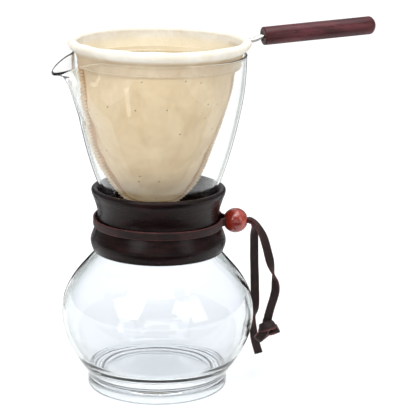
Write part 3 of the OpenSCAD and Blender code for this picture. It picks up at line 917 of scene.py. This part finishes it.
def hang(verts, faces, pinned):
    """Lets the cloth hang from its hem, and returns where its points settle."""
    mesh = new_mesh("hanging", verts, faces)
    obj = in_scene("hanging", mesh)
    group = obj.vertex_groups.new(name="held")
    for k, weight in enumerate(pinned):
        if weight > 0:
            group.add([k], weight, "REPLACE")
    cloth = obj.modifiers.new("cloth", "CLOTH")
    for key, value in dict(
            quality=8, mass=0.12, tension_stiffness=12, compression_stiffness=12,
            shear_stiffness=4, bending_stiffness=0.35, tension_damping=8,
            compression_damping=8, air_damping=2, vertex_group_mass="held", pin_stiffness=1,
            shrink_min=-0.035, use_pressure=True, uniform_pressure_force=0.35).items():
        setattr(cloth.settings, key, value)
    cloth.collision_settings.use_collision = False
    cloth.collision_settings.use_self_collision = False
    scene = bpy.context.scene
    cloth.point_cache.frame_start = 1
    cloth.point_cache.frame_end = 26
    for f in range(1, 25):
        scene.frame_set(f)
    shown = obj.evaluated_get(bpy.context.evaluated_depsgraph_get())
    out = [tuple(v.co / MM) for v in shown.data.vertices]
    scene.frame_set(1)
    bpy.data.objects.remove(obj)
    bpy.data.meshes.remove(mesh)
    return out


def settle_bag(verts):
    """Lets the bag settle, but stay near the CAD shape and inside the glass."""
    faces = bag_faces(-1)
    seen = {tuple(sorted(f)) for f in faces}
    faces += [f for f in bag_faces(1) if tuple(sorted(f)) not in seen]
    pinned = [ease(v[2], 178, 185) for v in verts]
    for k in range(len(seam)):
        for m in range(FIN_STEPS + 1):
            at = index["fin", k, m]
            pinned[at] = max(pinned[at], 0.7)
    moved = hang(verts, faces, pinned)
    most = 3.2
    out = []
    for old, new in zip(verts, moved):
        shift = Vector(new) - Vector(old)
        if shift.length > most:
            shift *= most / shift.length
        p = Vector(old) + shift
        room = glass_room(p.z) - CLOTH_T - 0.5
        flat = math.hypot(p.x, p.y)
        if flat > room:
            p.x *= room / flat
            p.y *= room / flat
        out.append(tuple(p))
    return out


def seam_distance(verts):
    """How far each point of the pouch lies from the outer edge, along the cloth."""
    n = len(rows)
    far = {}
    for k in range(len(seam)):
        tip = Vector(verts[index["fin", k, FIN_STEPS]])
        for m in range(FIN_STEPS + 1):
            p = Vector(verts[index["fin", k, m]])
            far[index["fin", k, m]] = (tip - p).length
    for side in (-1, 1):
        for i in range(n):
            ends = [far.get(index[side, i, 0], 0), far.get(index[side, i, BAG_COLS], 0)]
            row = [Vector(verts[index[side, i, j]]) for j in range(BAG_COLS + 1)]
            run = [0.0]
            for a, b in zip(row, row[1:]):
                run.append(run[-1] + (b - a).length)
            for j in range(BAG_COLS + 1):
                k = index[side, i, j]
                d = min(ends[0] + run[j], ends[1] + run[-1] - run[j])
                d = min(d, SEWN_EDGE + (Vector(verts[index[side, n - 1, j]]) - row[j]).length)
                far[k] = min(far.get(k, 1e9), d)
    return [far[k] for k in range(len(verts))]


def panel(name, side, node):
    """One cloth panel: its half of the pouch, smoothed and given its thickness."""
    faces = bag_faces(side)
    used = sorted({k for f in faces for k in f})
    new = {k: i for i, k in enumerate(used)}
    lift = THROUGH * side * 0.06
    obj = in_scene(name, new_mesh(
        name, [Vector(bag_verts[k]) + lift for k in used],
        [tuple(new[k] for k in f) for f in faces],
        {"across": [flat[k][0] for k in used], "down": [flat[k][1] for k in used],
         "far": [far[k] for k in used]}))
    finer = obj.modifiers.new("finer", "SUBSURF")
    finer.levels = finer.render_levels = 2
    shown = obj.evaluated_get(bpy.context.evaluated_depsgraph_get())
    fine = bpy.data.meshes.new_from_object(shown)
    bpy.data.objects.remove(obj)
    # both faces of the cloth, a thickness apart, with the needle line pulled in
    bm = bmesh.new()
    bm.from_mesh(fine)
    bmesh.ops.recalc_face_normals(bm, faces=bm.faces)
    bm.verts.ensure_lookup_table()
    away = THROUGH * side
    middle = max(bm.faces, key=lambda f: f.calc_center_median().z * side
                 * f.calc_center_median().y)
    if middle.normal.dot(away) < 0:
        bmesh.ops.reverse_faces(bm, faces=bm.faces)
    bm.normal_update()
    bm.to_mesh(fine)
    far_layer = bm.verts.layers.float["far"]
    count = len(bm.verts)
    inner, outer, painted_seam_shade = [], [], []
    for v in bm.verts:
        d = v[far_layer]
        p = v.co / MM
        n = v.normal
        groove = 0.42 * math.exp(-((d - NEEDLE_IN) / 0.75) ** 2)
        pucker = 0.22 * wobble(p.x, p.y, p.z, 2.6, 8.0) * math.exp(-((d - NEEDLE_IN) / 3.0) ** 2)
        loose = 0.10 * wobble(p.x, p.y, p.z, 6.0, 4.0)
        crease = 0.55 * wobble(p.x * 1.5, p.y * 1.5, p.z * 0.6, 9.0, 11.0 + side)
        crease += 0.22 * wobble(p.x, p.y, p.z, 3.6, 3.0)
        p += n * crease * ease(d, 5.5, 12) * ease(184 - p.z, 0, 8)
        inner.append(tuple(p))
        outer.append(tuple(p + n * max(CLOTH_T - groove + pucker + loose, 0.25)))
        # how much of the seam's painted shade each point takes, strongest from the needle line out
        # to the edge
        painted_seam_shade.append((1 - ease(d, NEEDLE_IN - 0.4, NEEDLE_IN + 0.5)) * 0.85
                       + 0.15 * (1 - ease(d, 6, 13)))
    rim = [e for e in bm.edges if len(e.link_faces) == 1]
    all_faces = [tuple(v.index for v in f.verts) for f in bm.faces]
    walls = []
    for e in rim:
        f = e.link_faces[0]
        order = [v.index for v in f.verts]
        a, b = e.verts[0].index, e.verts[1].index
        if order[(order.index(a) + 1) % len(order)] != b:
            a, b = b, a
        walls.append((a + count, a, b, b + count))
    top_faces = [tuple(k + count for k in f) for f in all_faces]
    low_faces = [tuple(reversed(f)) for f in all_faces]
    get = {}
    for key in ("across", "down"):
        layer = bm.verts.layers.float[key]
        get[key] = [v[layer] for v in bm.verts] * 2
    get["seam"] = painted_seam_shade * 2
    # the inner face of the cloth takes the painted light of the inside
    get["inside"] = [1.0] * count + [0.0] * count
    bm.free()
    bpy.data.meshes.remove(fine)
    return new_piece(name, inner + outer, low_faces + top_faces + walls, bag_cloth, "filter",
                     [node], "bag_cloth", 70, get)


rows, bag_verts, index, flat, seam = bag_grid()
bag_verts = settle_bag(bag_verts)
far = seam_distance(bag_verts)
front = panel("bag_panel_front", -1, "bag_front")
back = panel("bag_panel_back", 1, "bag_back")


def even_steps(line, step):
    """Points a fixed distance apart along a line of vectors."""
    out, left = [line[0]], step
    for a, b in zip(line, line[1:]):
        run = (b - a).length
        at = left
        while at <= run:
            out.append(a.lerp(b, at / run))
            at += step
        left = at - run
    return out


def seam_lines():
    """The needle line at the foot of the strip, and the strip's outer edge."""
    foot_line = [Vector(bag_verts[index["fin", k, 0]]) for k in range(len(seam))]
    edge_line = [Vector(bag_verts[index["fin", k, FIN_STEPS]]) for k in range(len(seam))]
    return foot_line, edge_line


def serged_edge():
    """Overlock thread that wraps the edge of both layers in slanting loops."""
    foot_line, edge_line = seam_lines()
    keep = [k for k, p in enumerate(edge_line) if p.z < 184.5]
    edge = [edge_line[k] for k in keep]
    inner = [foot_line[k] for k in keep]
    run = [0.0]
    for a, b in zip(edge, edge[1:]):
        run.append(run[-1] + (b - a).length)
    inner_at = [(s, k) for k, s in enumerate(run)]
    pitch = 2.0
    thick = CLOTH_T + 0.32
    parts = []
    for side in (-1, 1):
        path = []
        for q in range(int(run[-1] / pitch)):
            for part, depth in ((0.0, 0.0), (0.25, 0.5), (0.5, 1.0), (0.75, 0.5)):
                s = (q + part) * pitch
                t = min(lookup(inner_at, s), len(edge) - 1.001)
                k = int(t)
                e = edge[k].lerp(edge[k + 1], t - k)
                f = inner[k].lerp(inner[k + 1], t - k)
                inward = f - e
                if inward.length < 0.8:
                    inward = Vector((-e.x, -e.y, 0))
                inward.normalize()
                p = e + inward * (3.2 * depth - 0.7)
                lift = thick if depth > 0.2 else 0.25
                path.append(tuple(p + THROUGH * side * lift))
        parts.append(tube(smooth(path, 2), 0.36))
    return merge(parts)


def needle_stitches():
    """Short lockstitches along the foot of the strip, on both sides."""
    spots = even_steps([p for p in seam_lines()[0] if p.z < 183], 2.5)
    parts = []
    for side in (-1, 1):
        for a, b in zip(spots, spots[1:]):
            lift = THROUGH * side * (CLOTH_T * 0.75)
            p = a.lerp(b, 0.12) + lift
            q = a.lerp(b, 0.88) + lift
            mid = (p + q) / 2 + THROUGH * side * 0.16
            sink = THROUGH * side * 0.3
            path = [tuple(v) for v in (p - sink, p, mid, q, q - sink)]
            parts.append(tube(smooth(path, 2), 0.2))
    return merge(parts)


serging = new_piece("seam_overlock_thread", *merge([serged_edge(), needle_stitches()]),
                    serger_thread, "filter", ["seam_edge"], "thread", 80)

# ---- hem


def hem_mesh():
    """The strip of cloth folded over the hoop, with both its edges on the bag."""
    outside = [(43.55, 186), (44.1, 188.7), (44.65, 191.4), (45.2, 194), (45.7, 196.3)]
    outside += arc(HOOP_R, HOOP_Z, 2.3, 184, -52, 24)
    outside += [(47.4, 194.9), (46.4, 193), (45.75, 190.5), (45.4, 188.2), (45.15, 186)]
    outside = smooth(outside, 2)
    n = len(outside)
    length = [0.0]
    for a, b in zip(outside, outside[1:]):
        length.append(length[-1] + math.dist(a, b))
    columns = 360
    thick = 0.75
    verts, attrs = [], {key: [] for key in ("across", "down", "seam", "cuff", "inside")}
    for layer in (0, 1):
        for i, (r, z) in enumerate(outside):
            run = heading(outside, i).normalized()
            out = Vector((-run.y, run.x))
            roll = ease(z, 193.5, 196.5)
            for j in range(columns):
                az = 2 * math.pi * j / columns
                x, y, _ = polar(r, az, z)
                turn = (math.degrees(az) - 18 + 180) % 360 - 180
                lump = 0.9 * math.exp(-(turn / 10) ** 2) * roll + 0.15 * roll
                soft = roll * 0.50 * wobble(x, y, z, 9.0, 2.0)
                soft += roll * 0.22 * wobble(x, y, z, 3.0, 6.0)
                cuff = (1 - roll) * 0.16 * wobble(*polar(30, az, z / 3), 2.2, 5.0)
                near = math.exp(-((z - HEM_STITCH_Z) / 1.2) ** 2)
                push = soft + cuff + lump - 0.12 * near * (0.5 + 0.5 * math.cos(az * 84))
                push -= layer * thick
                pr = r + out.x * push
                pz = z + out.y * push + 0.25 * (1 - roll) * wobble(x, y, 0, 16.0, 9.0)
                verts.append(polar(pr, az, pz))
                outward = 1.0 if i > n / 2 else 0.0
                # grain across and down, the painted seam shade below the stitch line, the cuff
                # colour outside, and the painted light on the inner half
                values = (az * 48.3, length[i], 0.8 * (1 - ease(z, 186.2, 187.2)),
                          (1 - ease(z, 193.0, 196.2)) * outward,
                          (1 - ease(z, 193.0, 197.0)) * (1 - outward))
                for key, value in zip(attrs, values):
                    attrs[key].append(value)
    faces = grid_faces(n, columns, wrap_cols=True)
    base = n * columns
    faces += [tuple(base + k for k in reversed(f)) for f in faces]
    for row in (0, n - 1):
        for j in range(columns):
            k = (j + 1) % columns
            a, b = row * columns + j, row * columns + k
            faces.append((a, b, b + base, a + base) if row else (b, a, a + base, b + base))
    return verts, faces, attrs


verts, faces, attrs = hem_mesh()
hem = new_piece("hem_rolled", verts, faces, hem_cloth, "filter", ["hem_band"], "hem_cloth",
                80, attrs)


def ring_stitches(radius, lift, count=96):
    """Running stitches round the cuff, which stand out by lift."""
    parts = []
    for q in range(count):
        a0 = 2 * math.pi * (q + 0.12) / count
        a1 = 2 * math.pi * (q + 0.88) / count
        path = []
        for t, out in ((0, -0.4), (0.12, 0.3), (0.5, 0.8), (0.88, 0.3), (1, -0.4)):
            a = a0 + (a1 - a0) * t
            z = HEM_STITCH_Z + 0.3 * wobble(*polar(40, a, 0), 16.0, 9.0)
            path.append(polar(radius + lift * out, a, z))
        parts.append(tube(path, 0.24))
    return merge(parts)


hem_line = new_piece("hem_stitches",
                     *merge([ring_stitches(45.35, 0.3), ring_stitches(43.45, -0.3)]),
                     hem_thread, "filter", ["hem_stitch"], "thread", 80)

# ---- studio


def stage_sheet(name, corners, material):
    """Flat stage object with four corners, in metres."""
    mesh = bpy.data.meshes.new(name)
    mesh.from_pydata(corners, [], [(0, 1, 2, 3)])
    mesh.materials.append(material)
    mesh.polygons[0].use_smooth = True
    obj = in_scene(name, mesh)
    return obj


floor_shade = Shade("pale_floor")
spread = floor_shade.node("ShaderNodeVectorMath", {
    0: floor_shade.node("ShaderNodeTexCoord").outputs["Object"]}, operation="LENGTH").outputs[1]
floor_shade.set(Base_Color=(0.8, 0.8, 0.8, 1), Roughness=0.7, Specular_IOR_Level=0.1,
                Emission_Color=(1.0, 1.0, 1.0, 1),
                Emission_Strength=floor_shade.fit(spread, 0.1, 2.2, 0.05, 0.50))
FLOOR_HALF = 6.0
stage_sheet("floor", [(x * FLOOR_HALF, y * FLOOR_HALF, -0.0004)
                      for x, y in ((-1, -1), (1, -1), (1, 1), (-1, 1))], floor_shade.mat)


def softbox(name, at, aim_z, size, power):
    """Soft light that points at a height on the pot's axis."""
    data = bpy.data.lights.new(name, "AREA")
    data.shape = "RECTANGLE"
    data.size, data.size_y = size
    data.energy = power
    obj = in_scene(name, data)
    obj.location = at
    obj.rotation_euler = (Vector((0, 0, aim_z)) - Vector(at)).to_track_quat("-Z", "Y").to_euler()
    obj.visible_camera = False


softbox("key_box", (-0.75, -1.0, 0.95), 0.12, (0.65, 1.0), 7.0)
softbox("top_box", (0.05, -0.15, 1.3), 0.12, (1.2, 1.0), 13.0)
softbox("front_box", (0.1, -0.75, 1.3), 0.15, (0.7, 0.4), 3.5)
softbox("side_box", (0.95, -0.75, 0.6), 0.08, (0.45, 0.8), 2.6)
softbox("fill_box", (0.1, -1.7, 0.35), 0.12, (1.2, 0.8), 2.2)
softbox("low_strip", (-0.224, -0.262, 0.045), 0.12, (0.035, 0.09), 0.016)

# dark cards outside the picture, which only reflections see, draw the edges of the glass
card_shade = Shade("dark_card")
card_shade.set(Base_Color=(0.03, 0.032, 0.03, 1), Roughness=0.9, Specular_IOR_Level=0.0)
CARD_TOP = 0.3


def card(name, corners):
    obj = stage_sheet(name, corners, card_shade.mat)
    obj.visible_camera = False
    obj.visible_diffuse = False
    obj.visible_transmission = False
    obj.visible_shadow = False


card("card_front", [(x, y, 0.0005) for x, y in ((-0.4, -0.8), (0.4, -0.8), (0.4, -0.12),
                                                (-0.4, -0.12))])
for name, sign in (("left", -1), ("right", 1)):
    for which, ax, ay, bx, by in (("near", 0.073, 0.169, 0.102, 0.163),
                                  ("far", 0.124, 0.155, 0.164, 0.130)):
        card("card_%s_%s" % (name, which), [
            (sign * ax, ay, 0.001), (sign * bx, by, 0.001),
            (sign * bx, by, CARD_TOP), (sign * ax, ay, CARD_TOP)])

# the world is dark low down in front and bright overhead
sky = Shade("studio", world=True)
bpy.context.scene.world = sky.mat
way = sky.node("ShaderNodeSeparateXYZ", {
    0: sky.node("ShaderNodeTexCoord").outputs["Generated"]}).outputs
lean = sky.node("ShaderNodeMath", {0: way["Y"], 1: 0.35, 2: way["Z"]},
                operation="MULTIPLY_ADD").outputs[0]
sky.set(Color=sky.ramp(lean, [(0.30, (0.26, 0.265, 0.26)), (0.85, (0.96, 0.98, 1.0))]),
        Strength=1.0)
bpy.context.scene.view_settings.view_transform = "Standard"
